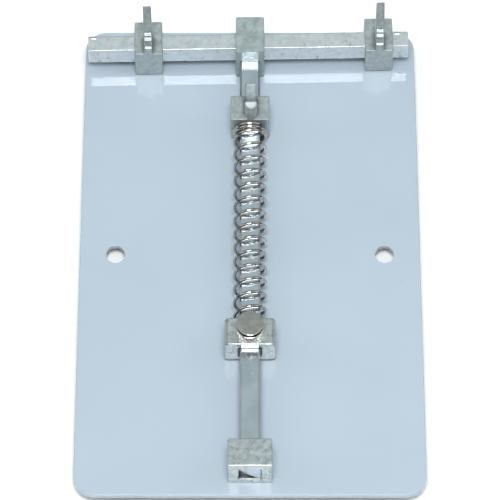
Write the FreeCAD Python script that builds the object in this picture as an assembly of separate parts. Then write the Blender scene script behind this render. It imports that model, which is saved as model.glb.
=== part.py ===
import FreeCAD, Part
import math
import os

# A bench vise for small circuit boards. A painted steel plate on four rubber feet carries two posts.
# A guide rail joins the posts, and a crossbar goes through the rear post. Two toothed jaws slide on
# the crossbar. A toothed claw slides on the rail and is pushed towards the jaws by a spring, which
# bears on a stop slider that a thumbscrew locks to the rail.
#
# Lengths are in millimetres. X runs along the crossbar, Y along the rail towards the crossbar, and
# Z up. The origin is on the surface that the feet stand on, under the centre of the plate.
# Heights named "..._above_deck" are counted from the plate's upper face.

# Base plate and feet
plate_width = 80.0
plate_length = 125.0
plate_thickness = 1.2
plate_corner_radius = 5.0
plate_edge_radius = 0.4
mounting_hole_radius = 2.25
mounting_hole_spacing = 63.2
foot_radius = 4.5
foot_height = 3.0
foot_edge_radius = 0.7
foot_inset = 10.0
deck = foot_height + plate_thickness

# Guide rail
rail_width = 4.8
rail_height = 4.5
rail_chamfer = 0.45
rail_axis_above_deck = 4.3
rail_end_recess = 0.2
rail_end_slant = 1.0
rail_rear_gap = 0.06

# Front post
front_post_width = 10.0
front_post_front = -59.3
front_post_back = -52.5
front_post_height = 9.0
front_window_margin = 0.15
front_window_depth = 1.6
front_window_floor_drop = 0.5
front_window_lip = 0.4

# Rear post
rear_post_width = 6.8
rear_post_front = 49.5
rear_post_back = 59.8
rear_post_height = 10.7

# Crossbar
bar_depth = 4.6
bar_height = 4.9
bar_length = 77.3
bar_offset = -0.4
bar_front = 52.3
bar_bottom_above_deck = 3.0
bar_chamfer = 0.2
bar_yaw_degrees = 1.1
stake_length = 1.0
stake_rise = 0.4
stake_root = 0.875
left_stake_insets = {"upper": 1.3, "lower": 2.5}
right_stake_insets = {"upper": 2.6, "lower": 1.7}

# Jaws
jaw_width = 6.7
jaw_front = 50.5
jaw_back = 60.0
jaw_bottom_above_deck = 0.3
jaw_top_above_deck = 9.0
jaw_clearance = 0.15
left_jaw_centre = -24.5
right_jaw_centre = 31.1

# Claw
claw_width = 9.2
claw_front = 31.9
claw_back = 38.7
slide_clearance = 0.3
slide_top_clearance = 0.1
slide_bottom_above_deck = 0.3
slide_top_above_deck = 8.4
lug_radius = 1.5
lug_back_above_deck = 14.1
lug_front_above_deck = 12.9

# Toothed fins, thicker on the claw than on the jaws. "Back" is counted from the toothed face.
jaw_fin_thickness = 1.95
claw_fin_thickness = 2.5
claw_fin_offset = 0.2
ledge_above_deck = 11.2
tooth_edges_above_deck = [13.94, 15.07, 16.15]
tooth_land = 0.25
notch_floor_depth = 0.6
notch_roof_depth = 0.85
notch_rise = 0.15
lean_start_above_deck = 13.12
lean_slope = 1.775
peak_above_deck = 22.0
peak_flat = 0.35

# Stop slider and thumbscrew
slider_width = 11.7
slider_front = -28.4
slider_back = -21.5
slider_chamfer = 0.8
screw_radius = 1.5
screw_clearance = 0.05
knob_radius = 3.1
knob_disc_height = 0.6
knob_groove_radius = 2.2
knob_groove_height = 1.1
knurl_radius = 3.15
knurl_height = 2.2
knurl_teeth = 28
knurl_depth = 0.22
knob_gap = 0.15
knob_bore_depth = 3.0

# Spring
wire_radius = 0.4
coil_radius = 3.6
closed_pitch = 0.84
closed_turns_front = 1.25
closed_turns_rear = 2.0
active_turns = 13.6
spring_end_gap = 0.02

# Screws and washers under the plate
post_screw_radius = 1.5
post_screw_clearance = 0.05
post_screw_reach_above_deck = 4.0
post_screw_head_radius = 2.8
post_screw_head_height = 1.7
cross_recess_length = 3.0
cross_recess_width = 0.7
cross_recess_depth = 1.0
washer_radius = 3.5
washer_thickness = 0.5

# Edge rounding of the castings
casting_edge_radius = 0.3
slider_foot_radius = 0.8

X = FreeCAD.Vector(1, 0, 0)
Y = FreeCAD.Vector(0, 1, 0)
Z = FreeCAD.Vector(0, 0, 1)
ORIGIN = FreeCAD.Vector(0, 0, 0)


def about(centre, width):
    """The two limits of a length centred on a point."""
    return centre - width / 2, centre + width / 2


def block(x, y, z):
    """A box between pairs of limits."""
    corner = FreeCAD.Vector(x[0], y[0], z[0])
    return Part.makeBox(x[1] - x[0], y[1] - y[0], z[1] - z[0], corner)


def edges_along(shape, direction):
    """The straight edges of a shape that run along a direction."""
    found = []
    for edge in shape.Edges:
        run = edge.Vertexes[-1].Point - edge.Vertexes[0].Point
        if run.Length > 0 and abs(run.normalize().dot(direction)) > 0.999:
            found.append(edge)
    return found


def prism(points, centre, thickness):
    """A plate across X, cut to an outline of (y, z) points."""
    outline = [FreeCAD.Vector(centre - thickness / 2, y, z) for y, z in points]
    face = Part.Face(Part.makePolygon(outline + outline[:1]))
    return face.extrude(X * thickness)


def bar_along(direction, centre, sizes, chamfer):
    """A rectangular bar with its long edges chamfered."""
    half = FreeCAD.Vector(*sizes) * 0.5
    bar = Part.makeBox(sizes[0], sizes[1], sizes[2], centre - half)
    return bar.makeChamfer(chamfer, edges_along(bar, direction))


def casting(x, y, z):
    """A die-cast block with soft vertical edges."""
    body = block(x, y, z)
    return body.makeFillet(casting_edge_radius, edges_along(body, Z))


# ---- Where the main pieces lie

rail_axis = deck + rail_axis_above_deck
rail_top = rail_axis + rail_height / 2
rail_front = front_post_front + rail_end_recess
bar_centre = FreeCAD.Vector(bar_offset, bar_front + bar_depth / 2,
                            deck + bar_bottom_above_deck + bar_height / 2)
bar_left = bar_offset - bar_length / 2
bar_right = bar_offset + bar_length / 2
slide_bottom = deck + slide_bottom_above_deck
slide_top = deck + slide_top_above_deck
front_screw = FreeCAD.Vector(0, (front_post_front + front_post_back) / 2, 0)
rear_screw = FreeCAD.Vector(0, bar_centre.y, 0)
thumbscrew = FreeCAD.Vector(0, (slider_front + slider_back) / 2, 0)


def askew(shape):
    """Turns a shape with the crossbar, which sits slightly askew on its screw."""
    return shape.rotated(rear_screw, Z, bar_yaw_degrees)


def post_screw_hole(at, top):
    """The tapped hole that takes a screw from below."""
    radius = post_screw_radius + post_screw_clearance
    return Part.makeCylinder(radius, top, FreeCAD.Vector(at.x, at.y, 0))


# ---- Base plate and feet

def base_plate():
    """The sheet steel base, with rounded corners, a soft upper edge and its holes."""
    plate = block(about(0, plate_width), about(0, plate_length), (foot_height, deck))
    plate = plate.makeFillet(plate_corner_radius, edges_along(plate, Z))
    upper = [e for e in plate.Edges if e.BoundBox.ZMin > deck - 0.001]
    plate = plate.makeFillet(plate_edge_radius, upper)
    for side in (-1, 1):
        at = FreeCAD.Vector(side * mounting_hole_spacing / 2, 0, 0)
        plate = plate.cut(Part.makeCylinder(mounting_hole_radius, deck + 1, at))
    for at in (front_screw, rear_screw):
        plate = plate.cut(post_screw_hole(at, deck + 1))
    return plate


def foot(side, end):
    """One rubber foot, stuck under a corner of the plate."""
    at = FreeCAD.Vector(side * (plate_width / 2 - foot_inset),
                        end * (plate_length / 2 - foot_inset), 0)
    disc = Part.makeCylinder(foot_radius, foot_height, at)
    lower = [e for e in disc.Edges if e.BoundBox.ZMax < 0.001]
    return disc.makeFillet(foot_edge_radius, lower)


# ---- Frame: rail, posts and crossbar

def guide_rail():
    """The bar that the claw and the stop slide on. Its front end is sheared off at a slant."""
    length = bar_front - rail_rear_gap - rail_front
    centre = FreeCAD.Vector(0, rail_front + length / 2, rail_axis)
    rail = bar_along(Y, centre, (rail_width, length, rail_height), rail_chamfer)
    side = rail_width / 2
    corners = [(-side, rail_front), (side, rail_front), (-side, rail_front + rail_end_slant)]
    outline = [FreeCAD.Vector(x, y, deck) for x, y in corners]
    shear = Part.Face(Part.makePolygon(outline + outline[:1])).extrude(Z * (2 * rail_height))
    return rail.cut(shear).cut(post_screw_hole(front_screw, deck + post_screw_reach_above_deck))


def crossbar():
    """The bar across the rear post, with edges staked up near its ends to keep the jaws on it."""
    bar = bar_along(X, bar_centre, (bar_length, bar_depth, bar_height), bar_chamfer)
    back = bar_front + bar_depth
    bottom = deck + bar_bottom_above_deck
    top = bottom + bar_height
    for end, inward, insets in ((bar_left, 1, left_stake_insets), (bar_right, -1, right_stake_insets)):
        upper = stake(end + inward * insets["upper"], back, top, 1)
        lower = stake(end + inward * insets["lower"], bar_front, bottom, -1)
        bar = bar.fuse(upper).fuse(lower)
    bar = askew(bar.removeSplitter())
    return bar.cut(post_screw_hole(rear_screw, deck + post_screw_reach_above_deck))


def stake(x, y, z, outward):
    """A wedge of metal raised on an edge of the crossbar. outward is 1 on the upper edge."""
    inside = -outward * stake_root
    proud = outward * stake_rise
    outline = [(y + inside, z + inside), (y + inside, z + proud), (y + proud, z + inside)]
    return prism(outline, x, stake_length)


def front_post():
    """The post at the front end of the rail, with the rail's end set back in its window."""
    post = casting(about(0, front_post_width), (front_post_front, front_post_back),
                   (deck, deck + front_post_height))
    passage = block(about(0, rail_width), (front_post_front - 1, front_post_back + 1),
                    about(rail_axis, rail_height))
    sides = about(0, rail_width + 2 * front_window_margin)
    low, high = about(rail_axis, rail_height + 2 * front_window_margin)
    window_back = front_post_front + front_window_depth
    window = block(sides, (front_post_front - 1, window_back), (low, high))
    well = block(sides, (front_post_front + front_window_lip, window_back),
                 (low - front_window_floor_drop, high))
    return post.cut(passage).cut(window).cut(well).cut(post_screw_hole(front_screw, rail_axis))


def rear_post():
    """The post that holds the rail's rear end and the crossbar, one against the other."""
    post = casting(about(0, rear_post_width), (rear_post_front, rear_post_back),
                   (deck, deck + rear_post_height))
    rail_hole = block(about(0, rail_width), (rear_post_front - 1, bar_front),
                      about(rail_axis, rail_height))
    bar_hole = askew(block(about(0, rear_post_width + 2), about(bar_centre.y, bar_depth),
                           about(bar_centre.z, bar_height)))
    return post.cut(rail_hole).cut(bar_hole).cut(post_screw_hole(rear_screw, bar_centre.z))


# ---- Toothed fin, jaws and claw

def fin(centre, thickness, face, inward, root):
    """The toothed fin over a jaw. inward is 1 where it leans back towards +Y, and -1 towards -Y."""
    outline = [(0, root), (0, deck + ledge_above_deck)]
    ledge = deck + ledge_above_deck
    for edge_above_deck in tooth_edges_above_deck:
        edge = deck + edge_above_deck
        outline.append((outline[-1][0] + notch_floor_depth, ledge + notch_rise))
        lean = (edge_above_deck - lean_start_above_deck) / lean_slope
        outline.append((lean + notch_roof_depth, edge - tooth_land - notch_rise))
        outline.append((lean, edge - tooth_land))
        outline.append((lean, edge))
        ledge = edge
    peak = (peak_above_deck - lean_start_above_deck) / lean_slope
    outline.append((peak, deck + peak_above_deck))
    outline.append((peak + peak_flat, deck + peak_above_deck))
    outline.append((peak + peak_flat, root))
    return prism([(face + inward * t, z) for t, z in outline], centre, thickness)


def jaw(centre):
    """A jaw that slides along the crossbar."""
    top = deck + jaw_top_above_deck
    body = casting(about(centre, jaw_width), (jaw_front, jaw_back),
                   (deck + jaw_bottom_above_deck, top))
    passage = block(about(centre, jaw_width + 2), about(bar_centre.y, bar_depth + 2 * jaw_clearance),
                    about(bar_centre.z, bar_height + 2 * jaw_clearance))
    body = body.cut(passage)
    body = body.fuse(fin(centre, jaw_fin_thickness, jaw_front, 1, top - casting_edge_radius))
    return askew(body.removeSplitter())


def slide_passage(y):
    """The hole that the rail goes through in the claw and in the stop slider."""
    return block(about(0, rail_width + 2 * slide_clearance), (y[0] - 1, y[1] + 1),
                 (rail_axis - rail_height / 2 - slide_clearance, rail_top + slide_top_clearance))


def lug():
    """The half-round boss in front of the claw's fin, with a top that slopes up to the fin."""
    back = claw_front + lug_radius
    root = slide_top - casting_edge_radius
    high = deck + lug_back_above_deck
    low = deck + lug_front_above_deck
    pillar = Part.makeCylinder(lug_radius, high - root, FreeCAD.Vector(claw_fin_offset, back, root))
    side = [(claw_front, root), (claw_front, low), (back, high), (back, root)]
    return pillar.common(prism(side, claw_fin_offset, 2 * lug_radius))


def centre_claw():
    """The sprung claw on the rail, with a lug in front of its fin to draw it back by."""
    body = casting(about(0, claw_width), (claw_front, claw_back), (slide_bottom, slide_top))
    body = body.cut(slide_passage((claw_front, claw_back)))
    body = body.fuse(fin(claw_fin_offset, claw_fin_thickness, claw_back, -1,
                         slide_top - casting_edge_radius))
    return body.fuse(lug()).removeSplitter()


# ---- Stop slider and thumbscrew

def stop_slider():
    """The block that holds the front end of the spring, locked to the rail by the thumbscrew."""
    body = block(about(0, slider_width), (slider_front, slider_back), (slide_bottom, slide_top))
    upper = [e for e in edges_along(body, Y) if e.BoundBox.ZMin > slide_top - 0.001]
    body = body.makeChamfer(slider_chamfer, upper)
    lower = [e for e in edges_along(body, Y) if e.BoundBox.ZMax < slide_bottom + 0.001]
    body = body.makeFillet(slider_foot_radius, lower)
    body = body.cut(slide_passage((slider_front, slider_back)))
    hole = Part.makeCylinder(screw_radius + screw_clearance, slide_top,
                             FreeCAD.Vector(thumbscrew.x, thumbscrew.y, rail_axis))
    return body.cut(hole)


knob_bottom = slide_top + knob_gap
knob_top = knob_bottom + knurl_height + knob_groove_height + knob_disc_height
bore_top = knob_bottom + knob_bore_depth


def knurled_band():
    """The gripped band of the knob, with straight teeth all round."""
    points = []
    for step in range(2 * knurl_teeth):
        angle = math.pi * step / knurl_teeth
        radius = knurl_radius - knurl_depth * (step % 2)
        points.append(FreeCAD.Vector(thumbscrew.x + radius * math.cos(angle),
                                     thumbscrew.y + radius * math.sin(angle), knob_bottom))
    return Part.Face(Part.makePolygon(points + points[:1])).extrude(Z * knurl_height)


def thumbscrew_head():
    """The knob: a flat disc over an undercut neck and a knurled band."""
    neck_bottom = knob_bottom + knurl_height
    disc_bottom = neck_bottom + knob_groove_height
    neck = Part.makeCylinder(knob_groove_radius, knob_groove_height,
                             FreeCAD.Vector(thumbscrew.x, thumbscrew.y, neck_bottom))
    disc = Part.makeCylinder(knob_radius, knob_disc_height,
                             FreeCAD.Vector(thumbscrew.x, thumbscrew.y, disc_bottom))
    bore = Part.makeCylinder(screw_radius + screw_clearance, knob_bore_depth,
                             FreeCAD.Vector(thumbscrew.x, thumbscrew.y, knob_bottom))
    return knurled_band().fuse(neck).fuse(disc).removeSplitter().cut(bore)


def thumbscrew_shank():
    """The threaded stud of the thumbscrew. Its tip bears on the rail."""
    bottom = rail_top + screw_clearance
    top = bore_top - screw_clearance
    return Part.makeCylinder(screw_radius, top - bottom,
                             FreeCAD.Vector(thumbscrew.x, thumbscrew.y, bottom))


# ---- Spring

def coil_line(pitch, turns, start, turned_before):
    """The centre line of some turns of wire round Z, from a height and after earlier turns."""
    line = Part.makeLongHelix(pitch, pitch * turns, coil_radius, 0)
    line.rotate(ORIGIN, Z, 360 * turned_before)
    line.translate(Z * start)
    return line.Edges


def spring():
    """The compression spring round the rail, at its free length, with close turns at both ends."""
    first = slider_back + spring_end_gap + wire_radius
    last = claw_front - spring_end_gap - wire_radius
    closed_length = closed_pitch * (closed_turns_front + closed_turns_rear)
    active_pitch = (last - first - closed_length) / active_turns
    start, turned = 0, 0
    centre_line = []
    for pitch, turns in ((closed_pitch, closed_turns_front), (active_pitch, active_turns),
                         (closed_pitch, closed_turns_rear)):
        centre_line += coil_line(pitch, turns, start, turned)
        start += pitch * turns
        turned += turns
    section = Part.Circle(FreeCAD.Vector(coil_radius, 0, 0), Y, wire_radius)
    wire = Part.Wire(centre_line).makePipeShell([Part.Wire([section.toShape()])], True, True)
    wire.rotate(ORIGIN, X, -90)
    wire.translate(FreeCAD.Vector(0, first, rail_axis))
    return wire


# ---- Fasteners under the plate

def washer(at):
    """A plain washer under a post screw."""
    low = FreeCAD.Vector(at.x, at.y, foot_height - washer_thickness)
    ring = Part.makeCylinder(washer_radius, washer_thickness, low)
    hole = Part.makeCylinder(post_screw_radius + post_screw_clearance, washer_thickness, low)
    return ring.cut(hole)


def post_screw(at):
    """A cross-recessed pan head screw, driven up through the plate."""
    head_top = foot_height - washer_thickness
    head_bottom = head_top - post_screw_head_height
    head = Part.makeCylinder(post_screw_head_radius, post_screw_head_height,
                             FreeCAD.Vector(at.x, at.y, head_bottom))
    lower = [e for e in head.Edges if e.BoundBox.ZMax < head_bottom + 0.001]
    head = head.makeFillet(post_screw_head_height / 2, lower)
    shank_length = deck + post_screw_reach_above_deck - head_top
    shank = Part.makeCylinder(post_screw_radius, shank_length - post_screw_clearance,
                              FreeCAD.Vector(at.x, at.y, head_top))
    screw = head.fuse(shank)
    recess_z = (head_bottom - 1, head_bottom + cross_recess_depth)
    long_way = about(0, cross_recess_length)
    short_way = about(0, cross_recess_width)
    for across, along in ((long_way, short_way), (short_way, long_way)):
        slot = block(across, along, recess_z)
        slot.translate(FreeCAD.Vector(at.x, at.y, 0))
        screw = screw.cut(slot)
    return screw


pieces = {
    "base_plate": base_plate(),
    "guide_rail": guide_rail(),
    "crossbar": crossbar(),
    "front_post": front_post(),
    "rear_post": rear_post(),
    "left_jaw": jaw(left_jaw_centre),
    "right_jaw": jaw(right_jaw_centre),
    "centre_claw": centre_claw(),
    "stop_slider": stop_slider(),
    "thumbscrew_head": thumbscrew_head(),
    "thumbscrew_shank": thumbscrew_shank(),
    "spring": spring(),
    "front_post_screw": post_screw(front_screw),
    "rear_post_screw": post_screw(rear_screw),
    "front_post_washer": washer(front_screw),
    "rear_post_washer": washer(rear_screw),
}
for side_name, side in (("left", -1), ("right", 1)):
    for end_name, end in (("front", -1), ("rear", 1)):
        pieces[f"{end_name}_{side_name}_foot"] = foot(side, end)

os.makedirs("parts", exist_ok=True)
for node, shape in pieces.items():
    shape.exportStep(f"parts/{node}.step")
    print(f"{node}: {len(shape.Solids)} solid, {shape.Volume:.1f} mm3, valid {shape.isValid()}")
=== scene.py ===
import bmesh
import bpy
import math
from mathutils import Matrix, Vector


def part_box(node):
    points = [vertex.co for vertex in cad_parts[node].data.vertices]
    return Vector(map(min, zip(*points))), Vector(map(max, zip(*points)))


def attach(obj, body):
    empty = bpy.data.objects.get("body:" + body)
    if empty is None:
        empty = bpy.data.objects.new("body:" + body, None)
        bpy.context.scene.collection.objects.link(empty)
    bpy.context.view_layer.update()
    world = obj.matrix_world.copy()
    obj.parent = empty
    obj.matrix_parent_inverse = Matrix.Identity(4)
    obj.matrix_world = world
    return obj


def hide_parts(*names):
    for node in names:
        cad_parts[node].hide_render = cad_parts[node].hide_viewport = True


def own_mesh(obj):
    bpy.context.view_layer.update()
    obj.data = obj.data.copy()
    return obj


# A small circuit board vise: painted plate, two posts, a rail and a crossbar, two toothed jaws, a
# sprung toothed claw, and a stop slider with a knurled thumbscrew. Meshes are made in millimetres
# and scaled to metres once, when they become objects. Places come from the boxes of the CAD nodes.

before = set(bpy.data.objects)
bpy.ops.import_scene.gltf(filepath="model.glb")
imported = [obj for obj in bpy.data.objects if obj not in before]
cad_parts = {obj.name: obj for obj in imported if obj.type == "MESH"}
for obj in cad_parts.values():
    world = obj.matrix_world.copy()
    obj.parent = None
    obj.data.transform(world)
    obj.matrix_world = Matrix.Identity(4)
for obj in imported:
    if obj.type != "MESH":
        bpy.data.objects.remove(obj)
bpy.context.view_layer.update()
scene = bpy.context.scene
scene.view_settings.view_transform = "Standard"

MM = 0.001
FULL_TURN = 2 * math.pi
QUARTER_TURN = math.pi / 2
SQUARE = ((-1, -1), (1, -1), (1, 1), (-1, 1))


# ---- Mesh helpers

def limits(node):
    """The lowest and highest corners of a CAD node, in millimetres."""
    low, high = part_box(node)
    return low / MM, high / MM


def round_node(node):
    """The centre, radius, bottom and top of a CAD node that is round about an upright axis."""
    low, high = limits(node)
    centre = ((low.x + high.x) / 2, (low.y + high.y) / 2)
    return centre, (high.x - low.x) / 2, low.z, high.z


def mesh_from(work, name):
    """Turns a bmesh into a mesh and lets the bmesh go."""
    mesh = bpy.data.meshes.new(name)
    work.to_mesh(mesh)
    work.free()
    return mesh


def set_down(name, mesh, body, material, node):
    """Turns a mesh in millimetres into a piece that rides on a body and stands for a CAD node."""
    mesh.transform(Matrix.Scale(MM, 4))
    mesh.materials.clear()
    mesh.materials.append(material)
    piece = bpy.data.objects.new(name, mesh)
    scene.collection.objects.link(piece)
    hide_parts(node)
    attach(piece, body)
    return piece


def shade(mesh, sharp_degrees=35):
    """Smooth shading that stays crisp at edges sharper than an angle."""
    limit = math.radians(sharp_degrees)
    work = bmesh.new()
    work.from_mesh(mesh)
    for face in work.faces:
        face.smooth = True
    for edge in work.edges:
        edge.smooth = edge.calc_face_angle(0) < limit
    work.to_mesh(mesh)
    work.free()
    return modified(mesh, ("WEIGHTED_NORMAL", {"keep_sharp": True, "weight": 100}))


def modified(mesh, *modifiers):
    """A copy of a mesh with modifiers applied. Each is (type, settings)."""
    holder = bpy.data.objects.new("holder", mesh)
    scene.collection.objects.link(holder)
    for kind, settings in modifiers:
        modifier = holder.modifiers.new(kind, kind)
        for key, value in settings.items():
            setattr(modifier, key, value)
    graph = bpy.context.evaluated_depsgraph_get()
    result = bpy.data.meshes.new_from_object(holder.evaluated_get(graph))
    bpy.data.objects.remove(holder)
    return result


def cad_mesh(node):
    """A copy of a CAD node's mesh in millimetres, with split vertices joined and flat faces merged."""
    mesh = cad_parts[node].data.copy()
    mesh.transform(Matrix.Scale(1 / MM, 4))
    work = bmesh.new()
    work.from_mesh(mesh)
    bmesh.ops.remove_doubles(work, verts=work.verts, dist=0.002)
    bmesh.ops.dissolve_limit(work, angle_limit=math.radians(1), verts=work.verts, edges=work.edges)
    work.to_mesh(mesh)
    work.free()
    return mesh


def lean_fronts(mesh, degrees):
    """Leans front faces back as they rise, or forward as they rise if degrees is negative.

    A face only moves into the casting: its foot stays still in the first case, its top in the second.
    """
    slope = math.tan(math.radians(degrees))
    heights = [v.co.z for v in mesh.vertices]
    still = min(heights) if degrees > 0 else max(heights)
    moves = [max(0, -v.normal.y) * slope * (v.co.z - still) for v in mesh.vertices]
    for vertex, move in zip(mesh.vertices, moves):
        vertex.co.y += move


def bevel(width, segments, sharper_than=30):
    """A bevel of the edges that turn by more than an angle."""
    return ("BEVEL", {"width": width, "segments": segments, "limit_method": "ANGLE",
                      "angle_limit": math.radians(sharper_than)})


def waves(name, size, strength):
    """Displacement by clouds of a size, for uneven cast surfaces."""
    texture = bpy.data.textures.new(name, "CLOUDS")
    texture.noise_scale = size
    return ("DISPLACE", {"texture": texture, "strength": strength, "mid_level": 0.5,
                         "texture_coords": "LOCAL"})


def arc(centre, radius, steps, first=0):
    """Points of a quarter circle that starts straight below its centre and ends straight out."""
    points = []
    for step in range(first, steps + 1):
        angle = QUARTER_TURN * step / steps
        points.append((centre[0] + radius * math.sin(angle), centre[1] - radius * math.cos(angle)))
    return points


def revolve(profile, sides, centre, radius_at=None):
    """A closed solid of revolution round Z. profile runs from axis to axis as (radius, height).

    radius_at(radius, height, angle) changes the radius round the solid, for teeth or threads.
    """
    work = bmesh.new()
    rings = []
    for radius, height in profile:
        if radius == 0:
            rings.append([work.verts.new((centre[0], centre[1], height))])
            continue
        ring = []
        for step in range(sides):
            angle = FULL_TURN * step / sides
            reach = radius_at(radius, height, angle) if radius_at else radius
            ring.append(work.verts.new((centre[0] + reach * math.cos(angle),
                                        centre[1] + reach * math.sin(angle), height)))
        rings.append(ring)
    for upper, lower in zip(rings, rings[1:]):
        for step in range(sides):
            after = (step + 1) % sides
            corners = [upper[step % len(upper)], lower[step % len(lower)],
                       lower[after % len(lower)], upper[after % len(upper)]]
            work.faces.new(list(dict.fromkeys(corners)))
    bmesh.ops.recalc_face_normals(work, faces=work.faces)
    return mesh_from(work, "revolved")


# ---- Nodes and materials

def map_range(tree, source, low, high, start, end):
    """Maps a value from low..high to start..end, with smooth ends."""
    node = tree.nodes.new("ShaderNodeMapRange")
    node.interpolation_type = "SMOOTHSTEP"
    for socket, value in (("From Min", low), ("From Max", high), ("To Min", start), ("To Max", end)):
        node.inputs[socket].default_value = value
    tree.links.new(source, node.inputs["Value"])
    return node.outputs["Result"]


def combined(tree, operation, first, second):
    """Two values joined by a Math node. The second may be a plain number."""
    node = tree.nodes.new("ShaderNodeMath")
    node.operation = operation
    tree.links.new(first, node.inputs[0])
    if isinstance(second, (int, float)):
        node.inputs[1].default_value = second
    else:
        tree.links.new(second, node.inputs[1])
    return node.outputs[0]


class Shader:
    """A node material built around one Principled shader, with textures in object space."""

    def __init__(self, name, **uniform):
        self.material = bpy.data.materials.new(name)
        self.material.use_nodes = True
        self.tree = self.material.node_tree
        self.nodes = self.tree.nodes
        self.links = self.tree.links
        self.surface = self.nodes["Principled BSDF"]
        for socket, value in uniform.items():
            self.surface.inputs[socket.replace("_", " ")].default_value = value
        self.place = self.nodes.new("ShaderNodeTexCoord").outputs["Object"]

    def link(self, source, node, socket):
        self.links.new(source, node.inputs[socket])

    def stretched(self, scale):
        """Object coordinates stretched along some axes."""
        mapping = self.nodes.new("ShaderNodeMapping")
        mapping.inputs["Scale"].default_value = scale
        self.link(self.place, mapping, "Vector")
        return mapping.outputs["Vector"]

    def noise(self, per_mm, detail=3, roughness=0.55, distortion=0, vector=None):
        """Noise with so many features per millimetre."""
        node = self.nodes.new("ShaderNodeTexNoise")
        node.inputs["Scale"].default_value = per_mm / MM
        node.inputs["Detail"].default_value = detail
        node.inputs["Roughness"].default_value = roughness
        node.inputs["Distortion"].default_value = distortion
        self.link(vector or self.place, node, "Vector")
        return node.outputs["Fac"]

    def cells(self, per_mm):
        """Distance from the middle of a Voronoi cell, for pits and specks."""
        node = self.nodes.new("ShaderNodeTexVoronoi")
        node.inputs["Scale"].default_value = per_mm / MM
        self.link(self.place, node, "Vector")
        return node.outputs["Distance"]

    def ranged(self, source, low, high, start=0.0, end=1.0):
        return map_range(self.tree, source, low, high, start, end)

    def between(self, factor, first, second):
        """A colour mixed from two by a factor."""
        node = self.nodes.new("ShaderNodeMix")
        node.data_type = "RGBA"
        self.link(factor, node, "Factor")
        for slot_name, colour in (("A", first), ("B", second)):
            socket = [i for i in node.inputs if i.name == slot_name and i.type == "RGBA"][0]
            if isinstance(colour, tuple):
                socket.default_value = (*colour, 1)
            else:
                self.links.new(colour, socket)
        return [o for o in node.outputs if o.type == "RGBA"][0]

    def times(self, value, factor):
        return combined(self.tree, "MULTIPLY", value, factor)

    def plus(self, first, second):
        return combined(self.tree, "ADD", first, second)

    def edges(self, radius_mm):
        """1 near sharp edges, 0 on flat ground, from the bevel node's bent normal."""
        bent = self.nodes.new("ShaderNodeBevel")
        bent.samples = 4
        bent.inputs["Radius"].default_value = radius_mm * MM
        geometry = self.nodes.new("ShaderNodeNewGeometry")
        dot = self.nodes.new("ShaderNodeVectorMath")
        dot.operation = "DOT_PRODUCT"
        self.links.new(bent.outputs["Normal"], dot.inputs[0])
        self.links.new(geometry.outputs["Normal"], dot.inputs[1])
        return self.ranged(dot.outputs["Value"], 0.995, 0.90)

    def crevices(self, reach_mm):
        """1 deep in notches and inner corners, 0 on open ground."""
        open_share = self.nodes.new("ShaderNodeAmbientOcclusion")
        open_share.samples = 6
        open_share.only_local = True
        open_share.inputs["Distance"].default_value = reach_mm * MM
        return self.ranged(open_share.outputs["AO"], 0.88, 0.45)

    def bump(self, height, depth_mm, strength, under=None):
        """A bumped normal. under is another bump that this one lies on."""
        node = self.nodes.new("ShaderNodeBump")
        node.inputs["Strength"].default_value = strength
        node.inputs["Distance"].default_value = depth_mm * MM
        self.link(height, node, "Height")
        if under:
            self.link(under, node, "Normal")
        return node.outputs["Normal"]

    def finish(self, colour, roughness, normal=None, coat_normal=None):
        """Links the textures to the shader and gives the material."""
        for source, socket in ((colour, "Base Color"), (roughness, "Roughness"),
                               (normal, "Normal"), (coat_normal, "Coat Normal")):
            if source:
                self.link(source, self.surface, socket)
        return self.material


def zinc_casting(name, light, dark, smooth, rough, relief=1.0):
    """Die-cast zinc: mottled and faintly uneven, with painted shade on its edges and in its corners.

    light and dark are the colours of the mottle, smooth and rough its range of roughness.
    """
    s = Shader(name, Metallic=0.72)
    blotches = s.noise(0.7, 5, 0.6, 0.3)
    grain = s.noise(3.5, 3, 0.6)
    mottle = s.plus(s.times(s.ranged(blotches, 0.3, 0.7), 0.5), s.times(grain, 0.6))
    body = s.between(s.ranged(mottle, 0.2, 0.9), dark, light)
    pits = s.ranged(s.cells(1.1), 0.03, 0.10)
    body = s.between(pits, dark, body)
    # Painted shade: the edges are darkened in the colour to give dark outlines along them.
    body = s.between(s.edges(0.22), body, tuple(c * 0.6 for c in dark))
    # Painted shade: an occlusion mask darkens notches and inner corners to near black, and also makes
    # them rougher.
    crevice_shade = s.crevices(1.8)
    body = s.between(crevice_shade, body, (0.045, 0.05, 0.05))
    roughness = s.plus(s.ranged(mottle, 0.2, 0.9, smooth, rough), s.times(crevice_shade, 0.3))
    normal = s.bump(grain, 0.008, 0.4 * relief)
    normal = s.bump(blotches, 0.03, 0.4 * relief, normal)
    normal = s.bump(pits, 0.006, 0.3 * relief, normal)
    return s.finish(body, roughness, normal)


def drawn_steel(name):
    """Bright plated bar: fine lines along its length and a few scuffs."""
    s = Shader(name, Metallic=1.0)
    lines = s.noise(5.0, 3, 0.6, 0, s.stretched((1, 0.02, 1)))
    tarnish = s.noise(0.16, 4, 0.6, 0.4)
    scuffs = s.ranged(s.noise(0.9, 5, 0.7, 1.5, s.stretched((1, 0.25, 1))), 0.60, 0.74)
    body = s.between(s.ranged(tarnish, 0.35, 0.7), (0.63, 0.69, 0.74), (0.73, 0.79, 0.84))
    body = s.between(scuffs, body, (0.76, 0.82, 0.84))
    roughness = s.plus(s.ranged(lines, 0.3, 0.7, 0.17, 0.25), s.times(scuffs, 0.16))
    return s.finish(body, roughness, s.bump(lines, 0.0016, 0.5))


def nickel_wire(name):
    """Nickel-plated spring wire: bright, with drawing lines and dull spots."""
    s = Shader(name, Metallic=1.0)
    spots = s.noise(1.6, 4, 0.65, 0.5)
    body = s.between(s.ranged(spots, 0.35, 0.7), (0.46, 0.43, 0.40), (0.64, 0.60, 0.57))
    return s.finish(body, s.ranged(spots, 0.3, 0.75, 0.10, 0.25), s.bump(spots, 0.006, 0.4))


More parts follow.
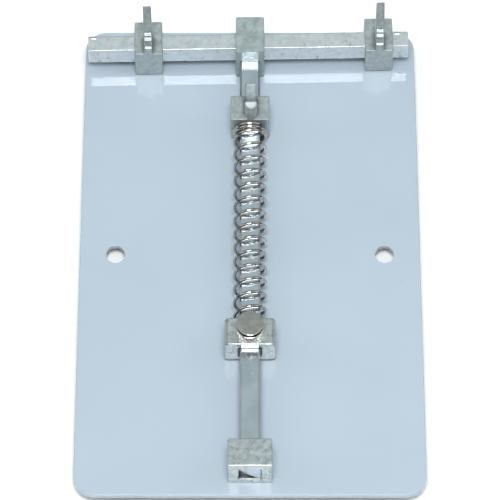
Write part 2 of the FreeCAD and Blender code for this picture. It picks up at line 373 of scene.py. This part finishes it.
def turned_nickel(name, centre):
    """Nickel-plated turned metal: fine rings round its axis, pale edges and painted shade in its
    grooves.
    """
    s = Shader(name, Metallic=1.0)
    shift = s.nodes.new("ShaderNodeVectorMath")
    shift.operation = "SUBTRACT"
    shift.inputs[1].default_value = (centre[0] * MM, centre[1] * MM, 0)
    s.links.new(s.place, shift.inputs[0])
    rings = s.nodes.new("ShaderNodeTexWave")
    rings.wave_type = "RINGS"
    rings.rings_direction = "Z"
    rings.inputs["Scale"].default_value = 1.9 / MM
    rings.inputs["Distortion"].default_value = 0.4
    rings.inputs["Detail"].default_value = 1
    s.links.new(shift.outputs["Vector"], rings.inputs["Vector"])
    turning = rings.outputs["Fac"]
    clouds = s.noise(0.5, 4, 0.6, 0.5)
    body = s.between(s.ranged(clouds, 0.3, 0.7), (0.46, 0.43, 0.40), (0.56, 0.52, 0.49))
    body = s.between(s.edges(0.16), body, (0.62, 0.59, 0.56))
    # Painted shade: an occlusion mask darkens grooves and inner corners to near black.
    body = s.between(s.crevices(1.1), body, (0.05, 0.05, 0.05))
    roughness = s.plus(s.ranged(clouds, 0.3, 0.7, 0.16, 0.27), s.times(turning, 0.05))
    return s.finish(body, roughness, s.bump(turning, 0.004, 0.35))


def enamel(name):
    """Glossy pale blue enamel with slight orange peel, a few specks and paler edges."""
    s = Shader(name, Coat_Weight=1.0, Coat_Roughness=0.03, Coat_IOR=1.5)
    tone = s.noise(0.03, 3, 0.5)
    body = s.between(s.ranged(tone, 0.35, 0.65), (0.430, 0.502, 0.584), (0.443, 0.517, 0.600))
    specks = s.ranged(s.cells(0.22), 0.012, 0.035)
    body = s.between(specks, (0.30, 0.35, 0.42), body)
    body = s.between(s.edges(0.35), body, (0.50, 0.58, 0.66))
    peel = s.noise(0.45, 2, 0.5)
    fine = s.noise(5.0, 2, 0.5)
    roughness = s.ranged(fine, 0.3, 0.7, 0.36, 0.46)
    return s.finish(body, roughness, s.bump(fine, 0.004, 0.3), s.bump(peel, 0.004, 0.35))


def zinc_plate(name):
    """Bright zinc-plated fasteners with a faint yellow-blue passivation tint."""
    s = Shader(name, Metallic=1.0)
    tint = s.noise(0.5, 4, 0.6, 0.8)
    body = s.between(s.ranged(tint, 0.35, 0.65), (0.60, 0.61, 0.62), (0.70, 0.68, 0.62))
    body = s.between(s.edges(0.15), body, (0.82, 0.82, 0.80))
    return s.finish(body, s.ranged(tint, 0.3, 0.7, 0.2, 0.36), s.bump(s.noise(5, 3), 0.006, 0.4))


def rubber(name):
    """Dark grey moulded rubber with dust in its fine grain."""
    s = Shader(name)
    grain = s.noise(6.0, 4, 0.65)
    dust = s.ranged(s.noise(0.7, 5, 0.7), 0.5, 0.72)
    body = s.between(dust, (0.022, 0.022, 0.024), (0.075, 0.073, 0.070))
    return s.finish(body, s.ranged(grain, 0.3, 0.7, 0.6, 0.85), s.bump(grain, 0.03, 0.6))


# ---- Camera, lights and floor

DECK = limits("base_plate")[1].z
VIEW_TILT = math.radians(29.6)  # from straight down
VIEW_DISTANCE = 733.6
AIM_BEHIND_CENTRE = 0.88
AIM_ABOVE_DECK = 0.5
SENSOR = 36.0
FOCAL_SHARE = 6.244  # focal length in sensor widths
KEY_RISE = math.radians(13)  # the key light stands this much nearer the zenith than the camera
KEY_TILT = VIEW_TILT - KEY_RISE
ROOM_LIGHT = 0.60
ROOM_TINT = (0.84, 0.98, 1.0, 1.0)
HORIZON_LIGHT = 0.03  # shares of the room's light
CEILING_LIGHT = 0.9
CEILING_MIDDLE = (0, 0.2, 0.98)
FLOOR_REACH = 3000
FLOOR_GAP = 0.02


def camera():
    """The photograph's viewpoint: above the front edge, looking down at about sixty degrees."""
    data = bpy.data.cameras.new("camera")
    data.sensor_width = SENSOR
    data.lens = SENSOR * FOCAL_SHARE
    data.clip_start = 0.01
    data.clip_end = 20
    target = Vector((0, AIM_BEHIND_CENTRE, DECK + AIM_ABOVE_DECK))
    back = Vector((0, -math.sin(VIEW_TILT), math.cos(VIEW_TILT)))
    seat = bpy.data.objects.new("camera", data)
    seat.location = (target + back * VIEW_DISTANCE) * MM
    seat.rotation_euler = (VIEW_TILT, 0, 0)
    scene.collection.objects.link(seat)
    scene.camera = seat


def softbox(name, direction, distance, size, power):
    """A round area light that faces the object. Distance and size are in metres."""
    data = bpy.data.lights.new(name, "AREA")
    data.shape = "DISK"
    data.size = size
    data.energy = power
    lamp = bpy.data.objects.new(name, data)
    towards = Vector(direction).normalized()
    lamp.location = towards * distance
    lamp.rotation_euler = towards.to_track_quat("Z", "Y").to_euler()
    lamp.visible_camera = False
    scene.collection.objects.link(lamp)


def surroundings():
    """A pale, slightly cool room that is dark low down and a little dimmer overhead."""
    world = bpy.data.worlds.new("room")
    scene.world = world
    world.use_nodes = True
    tree = world.node_tree
    direction = tree.nodes.new("ShaderNodeTexCoord").outputs["Generated"]
    overhead = tree.nodes.new("ShaderNodeVectorMath")
    overhead.operation = "DOT_PRODUCT"
    overhead.inputs[1].default_value = CEILING_MIDDLE
    tree.links.new(direction, overhead.inputs[0])
    parts = tree.nodes.new("ShaderNodeSeparateXYZ")
    tree.links.new(direction, parts.inputs[0])
    walls = map_range(tree, parts.outputs["Z"], 0.42, 0.72, HORIZON_LIGHT, 1.0)
    ceiling = map_range(tree, overhead.outputs["Value"], 0.72, 0.99, 1.0, CEILING_LIGHT)
    brightness = combined(tree, "MULTIPLY", combined(tree, "MULTIPLY", walls, ceiling), ROOM_LIGHT)
    background = tree.nodes["Background"]
    background.inputs["Color"].default_value = ROOM_TINT
    tree.links.new(brightness, background.inputs["Strength"])


def floor():
    """A white sheet under the vise, a hair below its feet."""
    work = bmesh.new()
    corners = []
    for x, y in SQUARE:
        corners.append(work.verts.new((x * FLOOR_REACH, y * FLOOR_REACH, -FLOOR_GAP)))
    work.faces.new(corners)
    mesh = mesh_from(work, "floor")
    mesh.transform(Matrix.Scale(MM, 4))
    s = Shader("floor_sheet", Specular_IOR_Level=0.1)
    tone = s.noise(0.002, 2)
    body = s.between(tone, (0.93, 0.93, 0.93), (0.96, 0.96, 0.96))
    mesh.materials.append(s.finish(body, s.ranged(tone, 0, 1, 0.8, 0.9)))
    sheet = bpy.data.objects.new("floor", mesh)
    scene.collection.objects.link(sheet)


camera()
surroundings()
softbox("key", (0, -math.sin(KEY_TILT), math.cos(KEY_TILT)), 0.95, 0.36, 7.0)
softbox("left_fill", (-1.2, 0.2, 0.9), 1.2, 0.7, 1.6)
softbox("right_fill", (1.2, 0.1, 0.9), 1.2, 0.7, 1.6)
floor()


# ---- Finishes

enamel_paint = enamel("pale_blue_enamel")
block_zinc = zinc_casting("block_zinc", (0.56, 0.61, 0.615), (0.41, 0.44, 0.45), 0.25, 0.38)
dull_zinc = zinc_casting("dull_zinc", (0.52, 0.59, 0.59), (0.39, 0.44, 0.445), 0.42, 0.56)
jaw_zinc = zinc_casting("jaw_zinc", (0.56, 0.61, 0.61), (0.39, 0.43, 0.435), 0.40, 0.52)
bar_zinc = zinc_casting("bar_zinc", (0.80, 0.83, 0.84), (0.66, 0.70, 0.71), 0.27, 0.36, 0.2)
bright_bar = drawn_steel("plated_bar")
spring_wire = nickel_wire("nickel_wire")
screw_zinc = zinc_plate("zinc_plate")
foot_rubber = rubber("foot_rubber")


# ---- Castings

WAVE_SIZE = 2.2
GRAIN_SIZE = 0.5
GRAIN_SHARE = 0.3


def cast_piece(node, body, material, voxel=0.13, edge=0.28, unevenness=0.05, draft=0.8, smoothing=2):
    """A die-cast copy of a CAD block: eased edges, faintly uneven faces and a leaning front."""
    soft = modified(cad_mesh(node), bevel(edge, 1), ("TRIANGULATE", {}))
    soft = modified(soft,
                    ("REMESH", {"mode": "VOXEL", "voxel_size": voxel, "use_smooth_shade": True}),
                    ("SMOOTH", {"factor": 0.5, "iterations": smoothing}),
                    waves(node + "_waves", WAVE_SIZE, unevenness),
                    waves(node + "_grain", GRAIN_SIZE, unevenness * GRAIN_SHARE))
    lean_fronts(soft, draft)
    set_down("cast_" + node, soft, body, material, node)


cast_piece("front_post", "base", block_zinc, draft=-0.4)
cast_piece("rear_post", "base", dull_zinc, draft=1.6)
cast_piece("stop_slider", "stop", block_zinc, draft=-2.3)
for jaw in ("left_jaw", "right_jaw"):
    cast_piece(jaw, jaw, jaw_zinc, edge=0.2)
cast_piece("centre_claw", "claw", jaw_zinc, edge=0.2, draft=1.0)
cast_piece("crossbar", "base", bar_zinc, voxel=0.14, edge=0.06, unevenness=0.02, draft=2.9,
           smoothing=9)


# ---- Rail and base plate

def rail():
    """The plated bar, with its sharp edges just broken."""
    mesh = modified(cad_mesh("guide_rail"), bevel(0.08, 2))
    set_down("plated_rail", shade(mesh), "base", bright_bar, "guide_rail")


def plate():
    """The enamelled sheet, with softened rims."""
    mesh = modified(cad_mesh("base_plate"), bevel(0.1, 2, sharper_than=50))
    set_down("enamelled_plate", shade(mesh), "base", enamel_paint, "base_plate")


rail()
plate()


# ---- Spring

WIRE_RADIUS = 0.4
WIRE_SIDES = 14
COIL_RADIUS = 3.6
CLOSED_PITCH = 0.84
FRONT_CLOSED_TURNS = 1.25
REAR_CLOSED_TURNS = 2.0
ACTIVE_TURNS = 13.6
TURNS = FRONT_CLOSED_TURNS + ACTIVE_TURNS + REAR_CLOSED_TURNS
EASE_TURNS = 0.35
STEPS_PER_TURN = 60


def coil_heights(length):
    """Heights along the coil's axis. The pitch eases from the close turns to the open ones."""
    steps = round(TURNS * STEPS_PER_TURN)
    turn_step = TURNS / steps
    opened = []
    for step in range(steps):
        turn = TURNS * (step + 0.5) / steps
        rise = min(max((turn - FRONT_CLOSED_TURNS) / EASE_TURNS + 0.5, 0), 1)
        fall = min(max((TURNS - REAR_CLOSED_TURNS - turn) / EASE_TURNS + 0.5, 0), 1)
        opened.append(rise * rise * (3 - 2 * rise) * fall * fall * (3 - 2 * fall))
    extra = (length - CLOSED_PITCH * TURNS) / (sum(opened) * turn_step)
    heights = [0.0]
    for share in opened:
        heights.append(heights[-1] + (CLOSED_PITCH + extra * share) * turn_step)
    return heights


def spring():
    """One wire wound round the rail, with close turns and cut ends."""
    low, high = limits("spring")
    rail_low, rail_high = limits("guide_rail")
    axis_height = (rail_low.z + rail_high.z) / 2
    first = low.y + WIRE_RADIUS
    heights = coil_heights(high.y - low.y - 2 * WIRE_RADIUS)
    work = bmesh.new()
    rings = []
    for step, height in enumerate(heights):
        angle = FULL_TURN * TURNS * step / (len(heights) - 1)
        outward = Vector((math.cos(angle), 0, -math.sin(angle)))
        centre = Vector((0, first + height, axis_height)) + outward * COIL_RADIUS
        ring = []
        for side in range(WIRE_SIDES):
            turn = FULL_TURN * side / WIRE_SIDES
            offset = (outward * math.cos(turn) + Vector((0, 1, 0)) * math.sin(turn)) * WIRE_RADIUS
            ring.append(work.verts.new(centre + offset))
        rings.append(ring)
    for ring, following in zip(rings, rings[1:]):
        for side in range(WIRE_SIDES):
            after = (side + 1) % WIRE_SIDES
            work.faces.new((ring[side], following[side], following[after], ring[after]))
    work.faces.new(rings[0])
    work.faces.new(rings[-1])
    bmesh.ops.recalc_face_normals(work, faces=work.faces)
    mesh = shade(mesh_from(work, "spring"), 50)
    piece = set_down("coil_spring", mesh, "stop", spring_wire, "spring")
    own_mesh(piece)


spring()


# ---- Thumbscrew

DISC_RADIUS = 3.1
DISC_HEIGHT = 0.6
NECK_RADIUS = 2.2
GROOVE_HEIGHT = 1.1
GROOVE_FLANK = 0.55
BORE_RADIUS = 1.55
BORE_DEPTH = 2.9
KNURL_TEETH = 28
KNURL_DEPTH = 0.30
THREAD_PITCH = 0.5
THREAD_DEPTH = 0.54 * THREAD_PITCH
THREAD_SIDES = 40
THREAD_STEPS_PER_TURN = 8


def knob():
    """The turned head: a disc over an undercut neck and a knurled band, bored for the stud."""
    centre, outer, bottom, top = round_node("thumbscrew_head")
    disc_bottom = top - DISC_HEIGHT
    band_top = disc_bottom - GROOVE_HEIGHT
    face = [(radius, top) for radius in (0, 0.6, 1.4, 2.2, DISC_RADIUS - 0.14)]
    disc_rim = [(DISC_RADIUS - 0.05, top - 0.03), (DISC_RADIUS, top - 0.12),
                (DISC_RADIUS, disc_bottom + 0.1), (DISC_RADIUS - 0.08, disc_bottom)]
    groove = [(NECK_RADIUS + 0.12, disc_bottom), (NECK_RADIUS, disc_bottom - 0.1),
              (NECK_RADIUS, band_top - GROOVE_FLANK)]
    band = [(outer - 0.16, band_top), (outer - 0.08, band_top - 0.03), (outer, band_top - 0.2),
            (outer, band_top - 0.5), (outer, (band_top + bottom) / 2), (outer, bottom + 0.5),
            (outer, bottom + 0.26), (outer - 0.18, bottom + 0.05), (outer - 0.3, bottom)]
    bore = [(BORE_RADIUS + 0.12, bottom), (BORE_RADIUS, bottom + 0.1),
            (BORE_RADIUS, bottom + BORE_DEPTH), (0, bottom + BORE_DEPTH)]

    def toothed(radius, height, angle):
        if radius < outer - 0.2 or height > band_top - 0.04:
            return radius
        wave = abs((angle * KNURL_TEETH / FULL_TURN) % 1 - 0.5) * 2
        return min(radius, outer - KNURL_DEPTH * (1 - wave) ** 0.8)

    mesh = revolve(face + disc_rim + groove + band + bore, KNURL_TEETH * 8, centre, toothed)
    material = turned_nickel("turned_nickel", centre)
    set_down("knurled_knob", shade(mesh, 40), "thumbscrew_head", material,
             "thumbscrew_head")


def stud():
    """The knob's threaded stud: a helical ridge on a core, which fades out at both ends."""
    centre, radius, bottom, top = round_node("thumbscrew_shank")
    steps = round((top - bottom) / THREAD_PITCH * THREAD_STEPS_PER_TURN)
    profile = [(0, top)]
    for step in range(steps + 1):
        profile.append((radius, top + (bottom - top) * step / steps))
    profile.append((0, bottom))

    def ridge(full, height, angle):
        phase = (height / THREAD_PITCH - angle / FULL_TURN) % 1
        crest = abs(phase - 0.5) * 2
        turns_from_end = min(top - height, height - bottom) / THREAD_PITCH
        fade = max(0, 1 - turns_from_end * 1.5)
        return full - THREAD_DEPTH * (1 - crest) - THREAD_DEPTH * fade * crest

    mesh = revolve(profile, THREAD_SIDES, centre, ridge)
    set_down("threaded_stud", shade(mesh, 40), "thumbscrew_shank", spring_wire,
             "thumbscrew_shank")


knob()
stud()


# ---- Fasteners and feet

HEAD_HEIGHT = 1.7
HEAD_ROUNDING = 0.85
HEAD_CROWN = 0.1
SCREW_RADIUS = 1.45
SLOT_REACH = 1.55
SLOT_HALF_WIDTH = 0.36
SLOT_DEPTH = 1.05
SLOT_FLOOR_SHARE = 0.55
BOX_FACES = ((0, 1, 2, 3), (4, 5, 6, 7), (0, 1, 5, 4), (1, 2, 6, 5), (2, 3, 7, 6), (3, 0, 4, 7))
FOOT_ROUNDING = 0.7


def slot_cutter(centre, head_bottom):
    """A tapered bar along Y that cuts the slot in a screw's head."""
    work = bmesh.new()
    corners = []
    for share, height in ((1.0, -0.3), (SLOT_FLOOR_SHARE, SLOT_DEPTH)):
        half_width = SLOT_HALF_WIDTH * (0.6 + 0.4 * share)
        for along, across in SQUARE:
            corners.append(work.verts.new((-across * half_width, along * SLOT_REACH * share, height)))
    for face in BOX_FACES:
        work.faces.new([corners[corner] for corner in face])
    bmesh.ops.recalc_face_normals(work, faces=work.faces)
    mesh = mesh_from(work, "slot")
    mesh.transform(Matrix.Translation((*centre, head_bottom)))
    cutter = bpy.data.objects.new("slot", mesh)
    scene.collection.objects.link(cutter)
    return cutter


def pan_screw(node):
    """A pan head machine screw with a straight slot, driven up from below."""
    centre, head, bottom, top = round_node(node)
    seat = bottom + HEAD_HEIGHT
    profile = [(0, bottom), (head * 0.3, bottom + 0.01), (head * 0.55, bottom + 0.06)]
    profile += arc((head - HEAD_ROUNDING, bottom + HEAD_CROWN + HEAD_ROUNDING), HEAD_ROUNDING, 6)
    profile += [(head, seat - 0.1), (head - 0.06, seat), (SCREW_RADIUS, seat),
                (SCREW_RADIUS, top - 0.3), (SCREW_RADIUS - 0.35, top), (0, top)]
    cutter = slot_cutter(centre, bottom)
    mesh = modified(revolve(profile, 64, centre),
                    ("BOOLEAN", {"operation": "DIFFERENCE", "object": cutter, "solver": "EXACT",
                                 "use_self": True}))
    bpy.data.objects.remove(cutter)
    set_down("pan_" + node, shade(mesh, 30), "base", screw_zinc, node)


def washer(node):
    """A plain washer with its edges just broken."""
    mesh = modified(cad_mesh(node), bevel(0.06, 3, sharper_than=40))
    set_down("plain_" + node, shade(mesh, 30), "base", screw_zinc, node)


def foot(node):
    """A moulded rubber foot: a pad with a shallow dish where it stands and a groove at its top."""
    centre, radius, bottom, top = round_node(node)
    dish = [(0, bottom + 0.35), (1.2, bottom + 0.33), (2.2, bottom + 0.2), (2.7, bottom + 0.04),
            (2.9, bottom), (radius - 0.75, bottom)]
    rim = arc((radius - 0.75, bottom + FOOT_ROUNDING), FOOT_ROUNDING, 6, first=1)
    wall = [(radius, bottom + 1.3), (radius, top - 0.35), (radius - 0.03, top - 0.3)]
    groove = [(radius - 0.12, top - 0.22), (radius - 0.03, top - 0.14), (radius, top - 0.08)]
    profile = dish + rim + wall + groove + [(radius - 0.05, top), (0, top)]
    mesh = revolve(profile, 72, centre)
    set_down("rubber_" + node, shade(mesh, 50), "base", foot_rubber, node)


for post in ("front_post", "rear_post"):
    pan_screw(post + "_screw")
    washer(post + "_washer")
for end in ("front", "rear"):
    for side in ("left", "right"):
        foot(f"{end}_{side}_foot")
